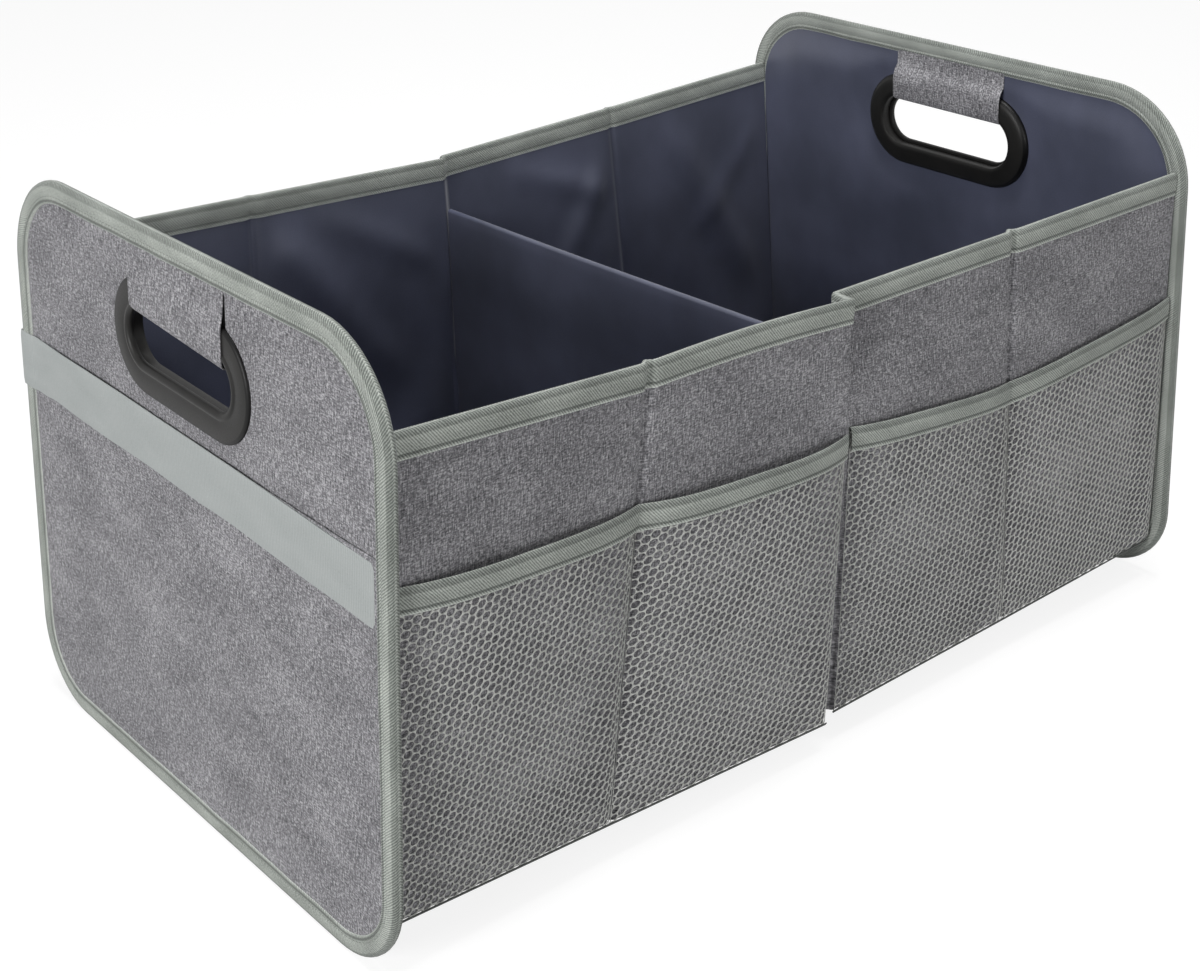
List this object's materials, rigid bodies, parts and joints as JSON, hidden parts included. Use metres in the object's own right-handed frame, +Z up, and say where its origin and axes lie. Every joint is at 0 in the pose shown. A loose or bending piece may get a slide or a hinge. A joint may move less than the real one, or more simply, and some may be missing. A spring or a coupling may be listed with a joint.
{
  "type": "car trunk organizer",
  "caption": "Open-topped fabric box for a car boot, with stiff tall ends, plastic handles, a divider, mesh pockets and bound edges.",
  "frame": {"origin": "on the ground under the middle of the organizer", "axes": "+X along its length from the near end panel to the far one, -Y towards the wall with mesh pockets, +Z up"},
  "size_m": [0.573, 0.3485, 0.303],
  "materials": {
    "cover_cloth": "melange woven polyester",
    "lining": "coated woven lining, slight sheen",
    "binding_tape": "ribbed grosgrain tape",
    "pocket_band": "smooth ribbed band",
    "pocket_mesh": "knitted honeycomb mesh",
    "handle_plastic": "moulded, matt",
    "stiff_board": "bare board, hidden between cloths"
  },
  "bodies": {
    "root": {"near_end_cover": "cover_cloth", "near_end_board": "stiff_board", "near_end_lining": "lining", "near_end_binding": "binding_tape", "near_slip_pocket": "cover_cloth", "near_pocket_band": "pocket_band", "near_handle_outer_frame": "handle_plastic", "near_handle_inner_frame": "handle_plastic", "near_handle_wrap": "cover_cloth", "far_end_cover": "cover_cloth", "far_end_board": "stiff_board", "far_end_lining": "lining", "far_end_binding": "binding_tape", "far_slip_pocket": "cover_cloth", "far_pocket_band": "pocket_band", "far_handle_outer_frame": "handle_plastic", "far_handle_inner_frame": "handle_plastic", "far_handle_wrap": "cover_cloth", "front_wall_cover": "cover_cloth", "front_wall_lining": "lining", "front_wall_tape": "binding_tape", "front_wall_board_1": "stiff_board", "front_wall_board_2": "stiff_board", "front_wall_board_3": "stiff_board", "front_wall_board_4": "stiff_board", "back_wall_cover": "cover_cloth", "back_wall_lining": "lining", "back_wall_tape": "binding_tape", "back_wall_board_1": "stiff_board", "back_wall_board_2": "stiff_board", "back_wall_board_3": "stiff_board", "back_wall_board_4": "stiff_board", "mesh_pocket_1": "pocket_mesh", "mesh_pocket_tape_1": "binding_tape", "mesh_pocket_2": "pocket_mesh", "mesh_pocket_tape_2": "binding_tape", "mesh_pocket_3": "pocket_mesh", "mesh_pocket_tape_3": "binding_tape", "mesh_pocket_4": "pocket_mesh", "mesh_pocket_tape_4": "binding_tape", "bottom_cover": "cover_cloth", "bottom_lining": "lining", "divider_board": "stiff_board", "divider_cover": "lining", "near_base_board": "lining", "far_base_board": "lining"}
  },
  "joints": []
}
